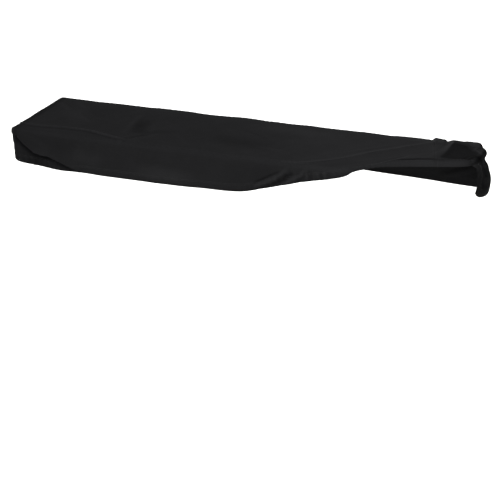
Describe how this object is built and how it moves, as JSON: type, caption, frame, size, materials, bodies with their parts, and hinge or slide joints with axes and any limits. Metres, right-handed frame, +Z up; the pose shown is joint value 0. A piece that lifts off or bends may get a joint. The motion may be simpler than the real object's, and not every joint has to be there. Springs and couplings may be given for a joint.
{
  "type": "piano dust cover",
  "caption": "Hollow black stretch-knit dust cover for a long piano with keys, boxed with a short skirt, its front right corner drawn back over the top.",
  "frame": {"origin": "on the underside of the top panel, in the middle of its length and depth, where what the cover is drawn over holds it up", "axes": "+X runs along the cover's length to its right end, +Y from front to back, +Z up"},
  "size_m": [1.3227, 0.2909, 0.136],
  "materials": {
    "top_knit": "matte black stretch knit",
    "skirt_knit": "matte black stretch knit"
  },
  "bodies": {
    "root": {"top_panel": "top_knit", "front_skirt": "skirt_knit", "back_skirt": "skirt_knit", "left_end": "skirt_knit", "right_end": "skirt_knit"}
  },
  "joints": []
}
